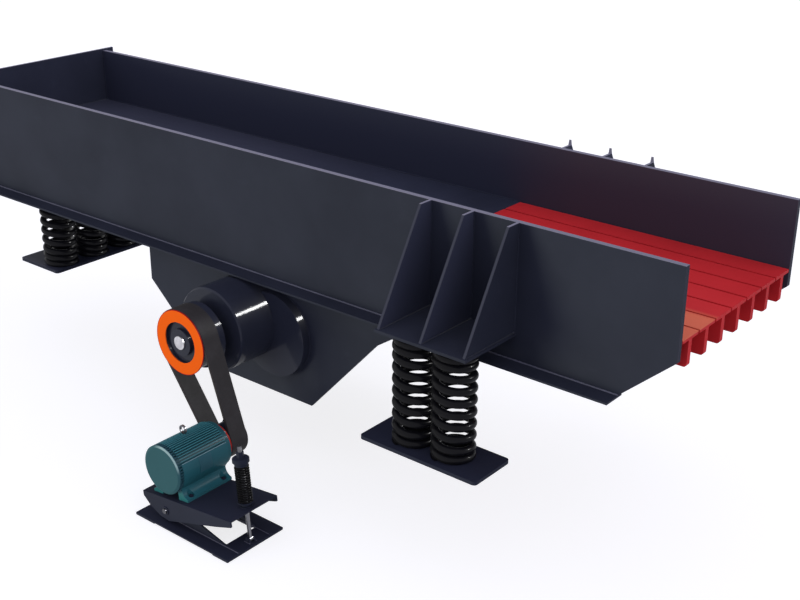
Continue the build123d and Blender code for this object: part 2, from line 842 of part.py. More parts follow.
with BuildPart() as seat_cheeks:
    for cheek_y in (seat_near_y, seat_near_y + seat_width - cheek_thickness):
        with BuildSketch(seat_plane(cheek_y)):
            Polygon(
                (-seat_low_reach, plate_under),
                (seat_high_reach, plate_under),
                (seat_high_reach, plate_under - cheek_high_depth),
                (seat_high_reach - cheek_knee_run, plate_under - cheek_knee_depth),
                (cheek_low_run - seat_low_reach, plate_under - cheek_low_depth),
                (cheek_heel_run - seat_low_reach, plate_under - cheek_heel_depth),
                (cheek_toe_run - seat_low_reach, plate_under - cheek_toe_depth),
                (-seat_low_reach, plate_under - cheek_end_depth),
                align=None,
            )
            with Locations((pin_along, -pin_below)):
                Circle(pin_radius + running_clearance, mode=Mode.SUBTRACT)
        extrude(amount=-cheek_thickness)

seat_cheeks.part.label = "seat_cheeks"
export_step(seat_cheeks.part, "parts/seat_cheeks.step")

# Motor base: two long plates on foot strips, joined by a cross plate at each end
strip_top_z = base_bottom_z + foot_strip_thickness
base_top_z = strip_top_z + base_plate_thickness
base_length = base_high_x - base_low_x
base_middle_y = base_near_y + base_width / 2
with BuildPart() as motor_base:
    with BuildSketch(Plane.XY.offset(base_bottom_z)):
        with Locations((base_low_x + base_low_strip / 2, base_middle_y)):
            Rectangle(base_low_strip, base_width)
        with Locations((base_high_x - base_high_strip / 2, base_middle_y)):
            Rectangle(base_high_strip, base_width)
    extrude(amount=foot_strip_thickness)
    with BuildSketch(Plane.XY.offset(strip_top_z)):
        with Locations(((base_low_x + base_high_x) / 2, base_middle_y)):
            Rectangle(base_length, base_width)
        opening_length = base_length - base_low_strip - base_high_strip
        with Locations((base_low_x + base_low_strip + opening_length / 2, base_middle_y)):
            Rectangle(opening_length, base_width - 2 * base_member_width, mode=Mode.SUBTRACT)
    extrude(amount=base_plate_thickness)

motor_base.part.label = "motor_base"
export_step(motor_base.part, "parts/motor_base.step")

# Ears that carry the pin, tapering down along the long plates
pin_x = motor_axis_x + pin_along * cos(tilt) + pin_below * sin(tilt)
pin_z = motor_axis_z + pin_along * sin(tilt) - pin_below * cos(tilt)
ear_near_y = base_near_y + base_member_width - ear_thickness
ear_far_y = base_near_y + base_width - base_member_width
with BuildPart() as base_ears:
    for ear_y in (ear_near_y, ear_far_y):
        with BuildSketch(Plane.XZ.offset(-ear_y)):
            Polygon(
                (pin_x - ear_foot_run, base_top_z),
                (pin_x - ear_head_half_width, pin_z + pin_radius),
                (pin_x - pin_radius, pin_z + ear_head_height),
                (pin_x + pin_radius, pin_z + ear_head_height),
                (pin_x + ear_head_half_width, pin_z + pin_radius),
                (base_high_x - base_high_strip, base_top_z + ear_rib_height),
                (base_high_x, base_top_z + ear_rib_height),
                (base_high_x, base_top_z),
                align=None,
            )
            with Locations((pin_x, pin_z)):
                Circle(pin_radius, mode=Mode.SUBTRACT)
        extrude(amount=-ear_thickness)

base_ears.part.label = "base_ears"
export_step(base_ears.part, "parts/base_ears.step")

with BuildPart() as seat_pivot_pin:
    with BuildSketch(Plane.XZ.offset(-seat_near_y + pin_overhang)):
        with Locations((pin_x, pin_z)):
            Circle(pin_radius)
    extrude(amount=-seat_width - 2 * pin_overhang)

seat_pivot_pin.part.label = "seat_pivot_pin"
export_step(seat_pivot_pin.part, "parts/seat_pivot_pin.step")

# Tension rod from a lug on the base, through the seat's slot, to its spring, cap and nut
def rod_plane(distance):
    foot = rod_foot + rod_direction * distance
    return Plane(origin=foot, x_dir=(rod_rise, 0, rod_lean), z_dir=rod_direction)


def rod_distance(z):
    return (z - rod_foot_z) / rod_direction.Z


with BuildPart() as tension_rod:
    with BuildSketch(rod_plane(rod_pin_radius + 1)):
        Circle(rod_radius)
    extrude(amount=rod_length - rod_pin_radius - 1)
    with BuildSketch(Plane(origin=rod_foot, x_dir=(1, 0, 0), z_dir=(0, -1, 0))):
        Circle(rod_eye_radius)
    extrude(amount=lug_ear_gap / 2 - 1, both=True)
    with BuildSketch(Plane(origin=rod_foot, x_dir=(1, 0, 0), z_dir=(0, -1, 0))):
        Circle(rod_pin_radius)
    extrude(amount=lug_ear_gap, both=True, mode=Mode.SUBTRACT)

tension_rod.part.label = "tension_rod"
export_step(tension_rod.part, "parts/tension_rod.step")

with BuildPart() as tension_rod_lug:
    for side in (-1, 1):
        ear_face_y = rod_y + side * lug_ear_gap / 2
        with BuildSketch(Plane.XZ.offset(-ear_face_y)):
            Polygon(
                (rod_foot_x - lug_half_width, base_top_z),
                (rod_foot_x - lug_head, rod_foot_z + lug_head),
                (rod_foot_x + lug_head, rod_foot_z + lug_head),
                (rod_foot_x + lug_half_width, base_top_z),
                align=None,
            )
        extrude(amount=-side * lug_ear_thickness)
    with BuildSketch(Plane.XZ.offset(-rod_y)):
        with Locations((rod_foot_x, rod_foot_z)):
            Circle(rod_pin_radius)
    extrude(amount=lug_ear_gap / 2 + lug_ear_thickness + rod_pin_overhang, both=True)

tension_rod_lug.part.label = "tension_rod_lug"
export_step(tension_rod_lug.part, "parts/tension_rod_lug.step")

# Cap: a neck inside the spring's line, a wide disc over it and a nut on top
cap_distance = rod_distance(cap_bottom_z)
disc_distance = cap_distance + cap_neck_height
nut_distance = disc_distance + cap_height
with BuildPart() as tension_cap:
    with BuildSketch(rod_plane(disc_distance)):
        Circle(cap_radius)
    extrude(amount=cap_height)
    chamfer(edges().filter_by(GeomType.CIRCLE), length=cap_chamfer)
    with BuildSketch(rod_plane(cap_distance)):
        Circle(cap_neck_radius)
    extrude(amount=cap_neck_height)
    with BuildSketch(rod_plane(nut_distance)):
        RegularPolygon(nut_radius, 6)
    extrude(amount=nut_height)
    with BuildSketch(rod_plane(cap_distance)):
        Circle(rod_radius)
    extrude(amount=cap_neck_height + cap_height + nut_height, mode=Mode.SUBTRACT)

tension_cap.part.label = "tension_cap"
export_step(tension_cap.part, "parts/tension_cap.step")

# Flanged bush on the seat, round the rod, that carries the tension spring
bush_outer = bush_bore + bush_wall
bush_top = -motor_height + bush_height
with BuildPart() as tension_spring_washer:
    with BuildSketch(slot_plane.offset(-motor_height)):
        with Locations((slot_along, 0)):
            Circle(bush_foot_radius)
    extrude(amount=bush_foot_thickness)
    with BuildSketch(slot_plane.offset(-motor_height)):
        with Locations((slot_along, 0)):
            Circle(bush_outer)
    extrude(amount=bush_height)
    with BuildSketch(slot_plane.offset(bush_top - bush_flange_thickness)):
        with Locations((slot_along, 0)):
            Circle(bush_flange_radius)
    extrude(amount=bush_flange_thickness)
    with BuildSketch(slot_plane.offset(-motor_height)):
        with Locations((slot_along, 0)):
            Circle(bush_bore)
    extrude(amount=bush_height, mode=Mode.SUBTRACT)

tension_spring_washer.part.label = "tension_spring_washer"
export_step(tension_spring_washer.part, "parts/tension_spring_washer.step")

# Tension spring between the bush and the cap
tension_coil_radius = tension_spring_radius - tension_wire_radius
lean_lift = tension_spring_radius * abs(rod_direction.cross(square).length) + body_gap
spring_start = rod_crossing(bush_top) + lean_lift
tension_coil = coil_spring(
    cap_distance - spring_start, tension_coil_radius, tension_wire_radius,
    1, tension_open_turns, 1, tension_coil_segments,
)
with BuildPart() as tension_spring:
    add(rod_plane(spring_start).location * tension_coil)

tension_spring.part.label = "tension_spring"
export_step(tension_spring.part, "parts/tension_spring.step")
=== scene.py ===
import json
import math

import bmesh
import bpy
from mathutils import Matrix, Vector


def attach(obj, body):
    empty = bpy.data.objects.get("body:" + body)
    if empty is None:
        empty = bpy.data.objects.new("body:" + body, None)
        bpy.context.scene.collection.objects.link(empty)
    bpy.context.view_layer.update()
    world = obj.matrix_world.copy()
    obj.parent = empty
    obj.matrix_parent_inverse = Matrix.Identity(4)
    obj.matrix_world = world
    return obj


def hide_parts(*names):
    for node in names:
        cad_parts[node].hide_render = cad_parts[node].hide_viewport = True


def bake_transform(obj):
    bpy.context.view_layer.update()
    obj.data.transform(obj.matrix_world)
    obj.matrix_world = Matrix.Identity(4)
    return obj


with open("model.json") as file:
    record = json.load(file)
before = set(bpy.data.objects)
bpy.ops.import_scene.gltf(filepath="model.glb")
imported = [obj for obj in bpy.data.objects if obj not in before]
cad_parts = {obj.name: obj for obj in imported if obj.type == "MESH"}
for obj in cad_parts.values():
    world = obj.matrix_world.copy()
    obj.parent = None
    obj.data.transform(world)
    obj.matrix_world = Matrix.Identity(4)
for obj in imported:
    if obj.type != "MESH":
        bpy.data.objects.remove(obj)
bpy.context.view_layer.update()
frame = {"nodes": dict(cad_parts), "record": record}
nodes = frame["nodes"]


# Camera at the photograph's viewing angle
def place_camera():
    azimuth, elevation, roll = 0.6845, 0.4013, 0.0066
    lens_mm, sensor_mm, sight_limit = 56.61, 36, 100
    place = (6.3487, -4.8062, 2.8831)
    back = Vector((
        math.sin(azimuth) * math.cos(elevation),
        -math.cos(azimuth) * math.cos(elevation),
        math.sin(elevation),
    ))
    right = (-back).cross(Vector((0, 0, 1))).normalized()
    up = back.cross(right)
    right_rolled = math.cos(roll) * right + math.sin(roll) * up
    up_rolled = -math.sin(roll) * right + math.cos(roll) * up
    turned = Matrix((right_rolled, up_rolled, back)).transposed().to_4x4()
    turned.translation = place
    camera = bpy.data.objects.new("camera", bpy.data.cameras.new("camera"))
    bpy.context.scene.collection.objects.link(camera)
    camera.data.lens = lens_mm
    camera.data.sensor_width = sensor_mm
    camera.data.clip_end = sight_limit
    camera.matrix_world = turned
    bpy.context.scene.camera = camera


place_camera()

# Places and sizes of the machine that its pieces share
tilt = math.radians(6.54)
along = Vector((math.cos(tilt), 0, math.sin(tilt)))
square = Vector((-math.sin(tilt), 0, math.cos(tilt)))
toward_lip = Vector((1, 0, 0))
toward_far_side = Vector((0, 1, 0))
toward_viewer = Vector((0, -1, 0))
upward = Vector((0, 0, 1))
motor_axis = Vector((2.086, 0, -0.288))
drive_axis = Vector((1.840, 0, 0.1924))
geared_axis = Vector((2.046, 0, 0.147))
wall_outer = 0.550
wall_inner = 0.522
wall_bottom = 0.4416
wall_top = 1.0898
end_plate_top = 1.1018
trough_rear = -0.6236
lip_x = 4.0693
deck = 0.757
pan_end = 2.824
gusset_xs = (3.0482, 3.2860, 3.5238)
gusset_half = 0.0065
gusset_foot = 0.917
gusset_head = 0.624
spring_seat_top = 0.576
spring_seat_ends = (3.034, 3.538)
spring_base_top = 0.018
fin_root = 0.1245
weld_offset = 0.001


def seat_point(u, y, w):
    return motor_axis + along * u + square * w + Vector((0, y, 0))


def around(centre, side, up, radius, turn):
    return centre + side * (radius * math.cos(turn)) + up * (radius * math.sin(turn))


# Shader maths: a level is one socket's value, and sums of levels add their own Math nodes
class Level:
    def __init__(self, owner, socket):
        self.owner = owner
        self.socket = socket

    def maths(self, operation, *values):
        return self.owner.node(
            "ShaderNodeMath", {"operation": operation}, dict(enumerate(values))
        )

    def __add__(self, other):
        return self.maths("ADD", self, other)

    def __radd__(self, other):
        return self.maths("ADD", other, self)

    def __sub__(self, other):
        return self.maths("SUBTRACT", self, other)

    def __rsub__(self, other):
        return self.maths("SUBTRACT", other, self)

    def __mul__(self, other):
        return self.maths("MULTIPLY", self, other)

    def __rmul__(self, other):
        return self.maths("MULTIPLY", other, self)

    def __pow__(self, other):
        return self.maths("POWER", self, other)

    def __abs__(self):
        return self.maths("ABSOLUTE", self)

    def ramp(self, low, high):
        return self.owner.node("ShaderNodeMapRange", None, {
            "Value": self, "From Min": low, "From Max": high, "To Min": 0.0, "To Max": 1.0,
        })

    def above(self, edge, soft=0.0004):
        return self.ramp(edge - soft, edge + soft)

    def below(self, edge, soft=0.0004):
        return 1.0 - self.above(edge, soft)


# The nodes of one material or of the world
class NodeTree:
    def __init__(self, tree):
        self.tree = tree

    def node(self, kind, settings=None, inputs=None, output=0):
        made = self.tree.nodes.new(kind)
        for name, value in (settings or {}).items():
            setattr(made, name, value)
        for name, value in (inputs or {}).items():
            self.join(made.inputs[name], value)
        return Level(self, made.outputs[output])

    def join(self, socket, value):
        if isinstance(value, Level):
            self.tree.links.new(value.socket, socket)
        else:
            socket.default_value = value

    def blend(self, share, first, second):
        return self.node(
            "ShaderNodeMix", {"data_type": "RGBA"}, {0: share, 6: first, 7: second}, 2
        )

    def seen_or_mirrored(self):
        return sum(
            self.node("ShaderNodeLightPath", output=kind)
            for kind in ("Is Camera Ray", "Is Glossy Ray", "Is Transmission Ray")
        )


# One finish: a material whose surface is driven by its own nodes
class Finish(NodeTree):
    def __init__(self, name, **constants):
        self.material = bpy.data.materials.new(name)
        self.material.use_nodes = True
        super().__init__(self.material.node_tree)
        self.shader = self.tree.nodes["Principled BSDF"]
        for socket, value in constants.items():
            self.shader.inputs[socket.replace("_", " ")].default_value = value

    def drive(self, name, value):
        self.join(self.shader.inputs[name], value)

    def place(self):
        return self.node("ShaderNodeTexCoord", output="Object")

    def axes(self):
        place = self.place()
        return [
            self.node("ShaderNodeSeparateXYZ", None, {0: place}, letter) for letter in "XYZ"
        ]

    def noise(self, scale, detail=3.0, stretch=(1, 1, 1)):
        spread = self.node(
            "ShaderNodeVectorMath", {"operation": "MULTIPLY"}, {0: self.place(), 1: stretch}
        )
        return self.node(
            "ShaderNodeTexNoise", None,
            {"Vector": spread, "Scale": scale, "Detail": detail, "Roughness": 0.55}, "Fac",
        )

    def bump(self, height, strength, distance):
        raised = self.node(
            "ShaderNodeBump", None, {"Strength": strength, "Distance": distance, "Height": height}
        )
        self.drive("Normal", raised)


# A screen colour, 0 to 255, as the linear colour that the shaders take
def colour(red, green, blue):
    def linear(value):
        value = value / 255
        return value / 12.92 if value <= 0.04045 else ((value + 0.055) / 1.055) ** 2.4
    return (linear(red), linear(green), linear(blue), 1.0)


def shade(base, factor):
    return tuple(min(1.0, part * factor) for part in base[:3]) + (1.0,)


# Sprayed paint: slow clouds of colour, a few scuffs, and an orange-peel surface
def paint(name, base, spread=0.10, rough=0.42, scuff=0.25, coat=0.0, marks=()):
    finish = Finish(name, Specular_IOR_Level=0.025, Coat_Weight=coat, Coat_Roughness=0.08)
    cloud = finish.noise(scale=2.2, detail=4.0)
    grain = finish.noise(scale=60.0)
    scuffs = finish.noise(scale=9.0, detail=6.0, stretch=(0.4, 1, 1)).ramp(0.63, 0.75)
    tone = finish.blend(cloud.ramp(0.35, 0.65), shade(base, 1 - spread), shade(base, 1 + spread))
    tone = finish.blend(scuff * scuffs, tone, shade(base, 1.5))
    for mask, mark in marks:
        tone = finish.blend(mask(*finish.axes()), tone, mark)
    finish.drive("Base Color", tone)
    finish.drive("Roughness", rough + 0.14 * (grain - 0.5) + 0.12 * (cloud - 0.5) + 0.10 * scuffs)
    finish.bump(grain, strength=0.10, distance=0.0006)
    return finish


# Bare metal with fine scratches and dull patches
def metal(name, base, rough=0.30):
    finish = Finish(name, Metallic=1.0)
    scratch = finish.noise(scale=180.0, detail=2.0)
    patch = finish.noise(scale=22.0, detail=4.0)
    finish.drive("Base Color", finish.blend(patch.ramp(0.40, 0.70), base, shade(base, 0.62)))
    finish.drive("Roughness", rough + 0.20 * (patch - 0.5) + 0.16 * (scratch - 0.5))
    finish.bump(scratch, strength=0.12, distance=0.0003)
    return finish


# Rubber with a woven cover and patches of dust
def rubber(name, base):
    finish = Finish(name, Specular_IOR_Level=0.12)
    weave = finish.noise(scale=240.0, detail=2.0, stretch=(1, 0.35, 1))
    dust = finish.noise(scale=14.0, detail=5.0)
    finish.drive("Base Color", finish.blend(dust.ramp(0.45, 0.75), base, shade(base, 1.5)))
    finish.drive("Roughness", 0.62 + 0.2 * (weave - 0.5))
    finish.bump(weave, strength=0.25, distance=0.0006)
    return finish


# Colours of the paints and of the marks on them; most marks are painted light, painted shade or
# painted highlights
grey_paint = colour(49, 52, 63)
# Painted highlight: the light caught along the top edges of the walls, the end plate and the
# gussets
painted_edge_highlight = colour(132, 130, 143)
# Painted light: a lighter grey on the inside of the far wall, which lies in shade
inside_painted_light = colour(58, 61, 76)
# Painted light: the red glow that the bars throw on the far wall beside them
painted_red_bounce = colour(76, 66, 74)
teal_paint = colour(53, 90, 98)
teal_frame = colour(46, 106, 111)
# Painted light: the finned top of the motor is painted lighter than its sides
teal_fin_painted_light = colour(68, 134, 138)
# Painted shade between the motor's fins and between the cowl's ribs
teal_groove_shade = colour(44, 94, 98)
# Painted highlight on the fan cowl's rim and on the strips along the motor's ledges
teal_edge_highlight = colour(150, 178, 180)


# Where a finish changes over a piece: a mask is the share of a mark's colour at a place. Most of
# these marks are painted light, painted shade or painted highlights.
edge_depth = 0.0006
gusset_slope = (gusset_foot - gusset_head) / (wall_top - spring_seat_top)
gusset_slope_reach = gusset_foot + gusset_slope * spring_seat_top
fin_slope = math.tan(tilt)
ledge_line = motor_axis.z - fin_slope * motor_axis.x + 0.048
cowl_rear = -1.4028
cowl_face = -1.4075
cowl_rim = 0.1195
orange_face = 0.171
nearest_bars = -0.22
bar_tips = 4.02
# Painted light on the pan reaches up to here
pan_light_end = 1.7
lit_gussets_end = gusset_xs[1] + 0.1
# Reach of the painted reflection on the base plates
reflection_side, reflection_end = -0.56, 1.0


# The walls' and the end plate's top edges, where the painted highlight goes
def wall_top_edge(x, y, z):
    return z.above(wall_top - edge_depth)


def end_plate_edge(x, y, z):
    return z.above(end_plate_top - edge_depth)


# Inside face of the far wall, lightened as painted light
def far_wall_inside(x, y, z):
    return y.above(wall_inner - 0.004) * y.below(wall_inner + 0.004)


# Painted red bounce light on the far wall beside the bars
def beside_bars(x, y, z):
    return 0.6 * far_wall_inside(x, y, z) * x.above(pan_end + 0.1, soft=0.25)


# Painted light: the rear of the pan, deep in the trough's shade, is painted lighter
def rear_pan_painted_light(x, y, z):
    return 0.8 * x.below(pan_light_end, soft=0.6)


# Painted light: the first two gussets, which lie in shade, are painted lighter
def gusset_web_painted_light(x, y, z):
    return abs(y).above(wall_outer + 0.002) * x.below(lit_gussets_end)


# Painted highlight along the gussets' sloped outer edges
def gusset_edge_highlight(x, y, z):
    return (abs(y) + gusset_slope * z).above(gusset_slope_reach - 0.0012)


def outside_radius(axis, radius):
    def outside(x, y, z):
        return ((x - axis.x) ** 2 + (z - axis.z) ** 2).above(radius ** 2, soft=0.00012)
    return outside


def between_fins(x, y, z):
    return 1.0 - outside_radius(motor_axis, fin_root)(x, y, z)


# The motor's finned top, above the ledges, where the painted light goes
def fin_top(x, y, z):
    return (z - fin_slope * x).above(ledge_line)


# Painted shade in the grooves between the fins on the motor's top
def fin_groove_shade(x, y, z):
    return fin_top(x, y, z) * between_fins(x, y, z)


# Painted shade between the ribs behind the fan cowl's face
def cowl_groove_shade(x, y, z):
    return y.above(cowl_rear) * between_fins(x, y, z)


# Painted highlight on the upper right of the fan cowl's bevelled rim
def cowl_bevel_highlight(x, y, z):
    upper_right = (z - motor_axis.z).ramp(0.02, 0.06) * (x - motor_axis.x).ramp(-0.05, 0.0)
    rim = y.below(cowl_face, soft=0.0008) * outside_radius(motor_axis, cowl_rim)(x, y, z)
    return rim * upper_right


# Painted highlight: the tops of the nearest bars near their tips are painted a lighter orange
def painted_sheen_near_bar_tops(x, y, z):
    tops = z.above(deck - 0.004, soft=0.002)
    return 0.85 * y.below(nearest_bars, soft=0.03) * tops * x.above(bar_tips, soft=0.14)


# Painted reflection: a lighter patch on the near side of the rear base plate's top
def base_reflection_patch(x, y, z):
    top = z.above(spring_base_top - 0.0005)
    return 0.5 * y.below(reflection_side, soft=0.03) * top * x.below(reflection_end)


finishes = {
    # Trough paint: painted light inside the far wall, a painted red glow beside the bars and a
    # painted highlight on the top edges
    "trough_paint": paint("trough paint", grey_paint, marks=[
        (far_wall_inside, inside_painted_light), (beside_bars, painted_red_bounce), (wall_top_edge, painted_edge_highlight)]),
    "housing_paint": paint("housing paint", colour(46, 49, 61), rough=0.5, coat=0.2),
    # The end plate's paint is the trough grey made lighter as painted light for its shaded inside,
    # with a painted highlight on its top edge
    "end_plate_lightened_paint": paint("end plate lightened paint", colour(56, 59, 72), marks=[
        (end_plate_edge, painted_edge_highlight)]),
    # Gusset paint: painted light on the first two gussets, and painted highlights on their sloped
    # edges and on the walls' top edges
    "gusset_paint": paint("gusset paint", grey_paint, marks=[
        (gusset_web_painted_light, colour(62, 65, 80)), (gusset_edge_highlight, colour(62, 64, 76)),
        (wall_top_edge, painted_edge_highlight)]),
    # Pan steel, with painted light on the rear of the pan
    "pan_steel": paint("pan steel", colour(49, 52, 66), spread=0.14, scuff=0.4, rough=0.5, marks=[
        (rear_pan_painted_light, colour(66, 68, 82))]),
    # Bar red, with a painted highlight on the tops of the nearest bars
    "bar_red": paint("bar red", colour(216, 50, 53), spread=0.06, scuff=0.12, marks=[
        (painted_sheen_near_bar_tops, colour(245, 128, 92))]),
    # Base paint, with a painted reflection as a lighter patch on the rear base plate's top
    "base_paint": paint("base paint", colour(45, 48, 61), rough=0.40, marks=[
        (base_reflection_patch, colour(84, 84, 98))]),
    "spring_black": paint("spring black", colour(21, 21, 24), rough=0.35, scuff=0.1, coat=0.12),
    "pulley_paint": paint("pulley paint", colour(42, 45, 56)),
    "ring_orange": paint("ring orange", colour(240, 98, 22), spread=0.04, scuff=0.1, marks=[
        (outside_radius(drive_axis, orange_face), colour(170, 25, 30))]),
    "ring_red": paint("ring red", colour(215, 58, 45), spread=0.05, scuff=0.1),
    "belt_rubber": rubber("belt rubber", colour(46, 43, 44)),
    "bare_steel": metal("bare steel", (0.18, 0.182, 0.20, 1.0)),
    "shaft_steel": metal("shaft steel", (0.62, 0.62, 0.64, 1.0), rough=0.36),
    "pin_steel": metal("pin steel", (0.10, 0.10, 0.11, 1.0)),
    "cap_paint": paint("cap paint", colour(46, 50, 62), rough=0.32),
    "tension_spring_paint": paint(
        "tension spring paint", colour(12, 12, 14), rough=0.35, coat=0.1),
    # Motor teal, with painted light on the finned top and painted shade between the fins
    "motor_teal": paint("motor teal", teal_frame, spread=0.08, coat=0.12, marks=[
        (fin_top, teal_fin_painted_light), (fin_groove_shade, teal_groove_shade)]),
    # Cowl teal, with painted shade between the ribs and a painted highlight on the rim
    "motor_cowl_teal": paint("motor cowl teal", teal_paint, spread=0.05, marks=[
        (cowl_groove_shade, teal_groove_shade), (cowl_bevel_highlight, teal_edge_highlight)]),
    "weld_grey": paint("weld grey", colour(98, 99, 112), rough=0.36),
    "bolt_zinc": metal("bolt zinc", (0.27, 0.275, 0.295, 1.0), rough=0.38),
    "panel_teal": paint("panel teal", colour(62, 108, 114), rough=0.30),
    # Light teal for the strips that stand as a painted highlight along the motor's ledges
    "edge_teal_highlight": paint("edge teal highlight", teal_edge_highlight, rough=0.30),
}

# Pieces whose finish differs from the one of their slot
own_finish = {
    "drive_shaft_housing": "housing_paint",
    "geared_shaft_cover": "housing_paint",
    "driven_pulley": "housing_paint",
    "rear_end_plate": "end_plate_lightened_paint",
    "drive_shaft": "shaft_steel",
    "seat_pivot_pin": "pin_steel",
    "near_bracket_gussets": "gusset_paint",
    "far_bracket_gussets": "gusset_paint",
}
for entry in frame["record"]["subparts"]:
    piece = nodes[entry["node"]]
    piece.data.materials.clear()
    chosen = own_finish.get(entry["node"], entry["material_slot"])
    piece.data.materials.append(finishes[chosen].material)


# A new piece from its mesh, in one finish, riding on one body of the machine
def finish_piece(name, made, finish, body=None, sharp=40):
    bmesh.ops.recalc_face_normals(made, faces=made.faces)
    mesh = bpy.data.meshes.new(name)
    made.to_mesh(mesh)
    made.free()
    for face in mesh.polygons:
        face.use_smooth = True
    mesh.set_sharp_from_angle(angle=math.radians(sharp))
    mesh.materials.append(finishes[finish].material)
    made_piece = bpy.data.objects.new(name, mesh)
    bpy.context.scene.collection.objects.link(made_piece)
    if body:
        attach(made_piece, body)
    return made_piece


# A skin over rings of points, with both its ends closed where that is asked for
def add_skin(made, rings, closed_ends=True):
    for first, second in zip(rings, rings[1:]):
        count = max(len(first), len(second))
        for step in range(count):
            after = (step + 1) % count
            if len(first) == 1:
                made.faces.new((first[0], second[after], second[step]))
            elif len(second) == 1:
                made.faces.new((first[step], first[after], second[0]))
            else:
                made.faces.new((first[step], first[after], second[after], second[step]))
    if closed_ends:
        made.faces.new(rings[0])
        made.faces.new(rings[-1])


def ring_points(centre, side, up, radius, count, start=0.0):
    return [
        around(centre, side, up, radius, start + 2 * math.pi * step / count)
        for step in range(count)
    ]


# Round wire or weld bead along a route, its radius a number or a function of the step
def add_wire(made, route, radius, sides=8, shape=None):
    rings = []
    side = None
    for step, point in enumerate(route):
        ahead = route[min(step + 1, len(route) - 1)] - route[max(step - 1, 0)]
        ahead.normalize()
        side = ahead.orthogonal() if side is None else side - ahead * side.dot(ahead)
        side.normalize()
        width = radius(step) if callable(radius) else radius
        ring = ring_points(point, side, ahead.cross(side), width, sides)
        rings.append([made.verts.new(shape(place) if shape else place) for place in ring])
    add_skin(made, rings)


# A turned form: (radius, height) pairs revolved about a line
def add_turned(made, profile, origin, direction, segments=24, start=0.0):
    side = direction.orthogonal().normalized()
    up = direction.cross(side)
    rings = []
    for radius, height in profile:
        centre = origin + direction * height
        places = ring_points(centre, side, up, radius, segments, start) if radius else [centre]
        rings.append([made.verts.new(place) for place in places])
    add_skin(made, rings, closed_ends=False)


# Hexagon bolts on washers, each with its head turned its own way
def bolts(name, places, direction, head, body, finish="bolt_zinc"):
    made = bmesh.new()
    washer = 0.22 * head
    top = washer + 0.75 * head
    washer_profile = [
        (0, 0), (1.32 * head, 0), (1.32 * head, 0.8 * washer), (1.25 * head, washer), (0, washer),
    ]
    head_profile = [
        (0, washer), (head, washer), (head, top - 0.1 * head), (0.88 * head, top), (0, top),
    ]
    for count, place in enumerate(places):
        add_turned(made, washer_profile, place, direction, 20)
        add_turned(made, head_profile, place, direction, 6, 0.7 * count)
    finish_piece(name, made, finish, body)


# Weld beads along straight lines, rippled like a hand-laid bead
def welds(name, lines, body, width=0.0045, finish="weld_grey"):
    made = bmesh.new()
    bead_step = 0.009
    for count, (start, end) in enumerate(lines):
        start, end = Vector(start), Vector(end)
        steps = max(4, int((end - start).length / bead_step))
        route = [start.lerp(end, step / steps) for step in range(steps + 1)]

        def ripple(step, count=count):
            return width * (1 + 0.16 * math.sin(2.1 * step) + 0.08 * math.sin(0.37 * step + count))
        add_wire(made, route, ripple)
    finish_piece(name, made, finish, body, sharp=60)


def level_line(from_x, to_x, y, z):
    return (from_x, y, z), (to_x, y, z)


def upright_line(x, y, from_z, to_z):
    return (x, y, from_z), (x, y, to_z)


# Centre line of a left-handed coil, as high after each turn as its height function says
def coil_route(radius, height, turns, start, steps, ease):
    route = []
    count = round(turns * steps)
    for step in range(count + 1):
        turn = turns * step / count
        eased = sum(height(turn + shift * ease) for shift in (-2, -1, 0, 1, 2)) / 5
        angle = math.radians(start) - 2 * math.pi * turn
        route.append(Vector((radius * math.cos(angle), radius * math.sin(angle), eased)))
    return route


# Support springs: closed turns at the foot and the head, both ends ground flat
wire_radius = 0.0195
coil_radius = 0.0855
ground_depth = 0.014
open_pitch = 0.059
ground_gap = 0.0002


def support_coils(name, places, top, low, high, start):
    rise = top - spring_base_top + 2 * ground_depth
    closed_rise = 2 * wire_radius * (low + high)
    turns = low + high + (rise - closed_rise) / open_pitch

    def height(turn):
        if turn < low:
            return 2 * wire_radius * turn
        if turn < turns - high:
            return 2 * wire_radius * low + open_pitch * (turn - low)
        return rise - 2 * wire_radius * (turns - turn)

    def ground_flat(point):
        level = min(max(point.z, spring_base_top + ground_gap), top - ground_gap)
        return Vector((point.x, point.y, level))

    made = bmesh.new()
    route = coil_route(coil_radius, height, turns, start, steps=40, ease=0.03)
    for x, y in places:
        foot = Vector((x, y, spring_base_top - ground_depth))
        add_wire(made, [foot + point for point in route], wire_radius, sides=14, shape=ground_flat)
    return finish_piece(name, made, "spring_black")


front_spring_x, front_spring_y, front_half_spacing = 3.286, 0.805, 0.1125
front_spring_places = [
    (front_spring_x + end * front_half_spacing, side * front_spring_y)
    for side in (-1, 1) for end in (-1, 1)
]
front_coils = support_coils(
    "front_coils", front_spring_places, top=0.5617, low=1.5, high=2.5, start=255
)
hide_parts("front_springs")
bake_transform(front_coils)

rear_spring_x, rear_spring_spacing = 0.075, 0.232
rear_spring_places = [(rear_spring_x, rear_spring_spacing * (index - 2)) for index in range(5)]
rear_coils = support_coils(
    "rear_coils", rear_spring_places, top=0.4173, low=2.75, high=1.5, start=220
)
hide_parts("rear_springs")
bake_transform(rear_coils)

# The belt tensioner: the line of its rod, the coil on it and the rod's thread
rod_foot = Vector((2.5177, -1.252, -0.578))
rod_top = Vector((2.4714, -1.252, -0.0809))
rod_line = (rod_top - rod_foot).normalized()
spring_foot_z, spring_head_z = -0.3785, -0.1803
thread_foot_z, thread_head_z = -0.44, -0.088


def rod_at(z):
    return rod_foot + rod_line * ((z - rod_foot.z) / rod_line.z)


